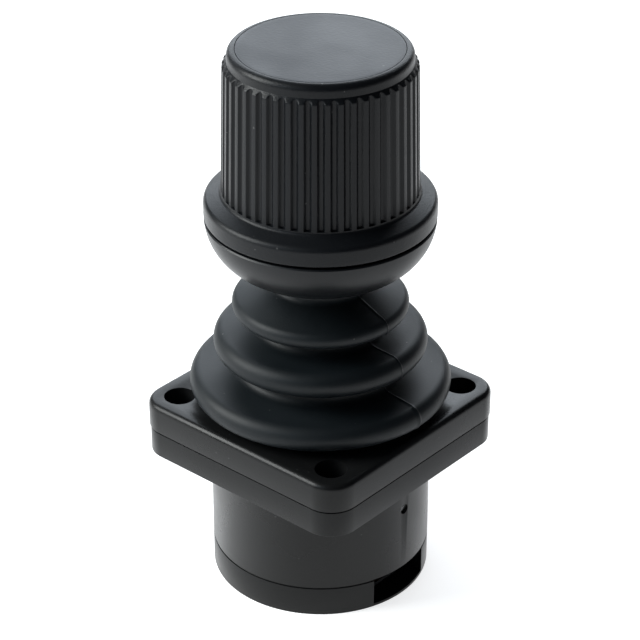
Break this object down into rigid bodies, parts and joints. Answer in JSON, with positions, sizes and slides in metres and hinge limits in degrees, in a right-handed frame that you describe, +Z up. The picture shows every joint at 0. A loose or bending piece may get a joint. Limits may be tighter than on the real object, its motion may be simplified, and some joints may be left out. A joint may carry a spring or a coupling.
{
  "type": "industrial joystick",
  "caption": "Panel-mount joystick: round body, square flange with counterbored corner holes, ribbed rubber boot, tilting lever and a spring-centred, ribbed twist knob.",
  "frame": {"origin": "centre of the flange's underside, in the plane of the panel's top face", "axes": "+Z up along the lever at rest, +X towards the connector window, flange sides parallel to X and Y"},
  "size_m": [0.053, 0.053, 0.1157],
  "materials": {
    "housing_plastic": "fine satin moulded nylon, near black",
    "boot_rubber": "smooth moulded rubber with a soft sheen, near black",
    "cup_plastic": "smooth satin plastic, black",
    "knob_plastic": "lightly textured moulded plastic, black",
    "cap_plastic": "fine leather-like moulded grain, black",
    "steel": "turned and zinc plated",
    "spring_steel": "drawn spring wire",
    "nylon": "natural acetal",
    "board_laminate": "green solder resist",
    "chip_plastic": "moulded black resin",
    "contact_metal": "gold flashed pins",
    "magnet": "sintered, dull grey",
    "lead_jacket": "black sleeve"
  },
  "bodies": {
    "root": {"housing": "housing_plastic", "bezel": "housing_plastic", "gate_plate": "steel", "boot": "boot_rubber", "bottom_cover": "housing_plastic", "cover_screws": "steel", "circuit_board": "board_laminate", "board_screws": "steel", "board_parts": "chip_plastic", "tilt_sensor": "chip_plastic", "connector_header": "chip_plastic", "connector_pins": "contact_metal", "pivot_pins": "steel", "outer_springs": "spring_steel"},
    "gimbal": {"gimbal_ring": "nylon", "cross_pins": "steel", "inner_springs": "spring_steel"},
    "lever": {"lever_hub": "nylon", "set_screws": "steel", "magnet_holder": "nylon", "tilt_magnet": "magnet", "lever_shaft": "steel", "boot_collar": "nylon", "handle_cup": "cup_plastic", "handle_post": "nylon", "post_screws": "steel", "twist_board": "board_laminate", "twist_sensor": "chip_plastic", "sensor_lead": "lead_jacket", "twist_spring": "spring_steel", "post_washer": "steel", "retaining_screw": "steel"},
    "knob": {"knob_shell": "knob_plastic", "knob_cap": "cap_plastic", "twist_bushes": "nylon", "twist_magnet": "magnet"}
  },
  "joints": [
    {"name": "tilt_x", "type": "hinge", "parent": "root", "child": "gimbal", "pos_m": [0, 0, -0.0073], "axis": [1, 0, 0], "range_deg": [-18, 18], "stiffness_Nm_per_rad": 1.2, "deforming": ["boot", "outer_springs"]},
    {"name": "tilt_y", "type": "hinge", "parent": "gimbal", "child": "lever", "pos_m": [0, 0, -0.0073], "axis": [0, 1, 0], "range_deg": [-18, 18], "stiffness_Nm_per_rad": 1.2, "deforming": ["boot", "inner_springs"]},
    {"name": "twist", "type": "hinge", "parent": "lever", "child": "knob", "pos_m": [0, 0, 0.07], "axis": [0, 0, 1], "range_deg": [-24, 24], "stiffness_Nm_per_rad": 0.15, "deforming": ["twist_spring"]}
  ]
}
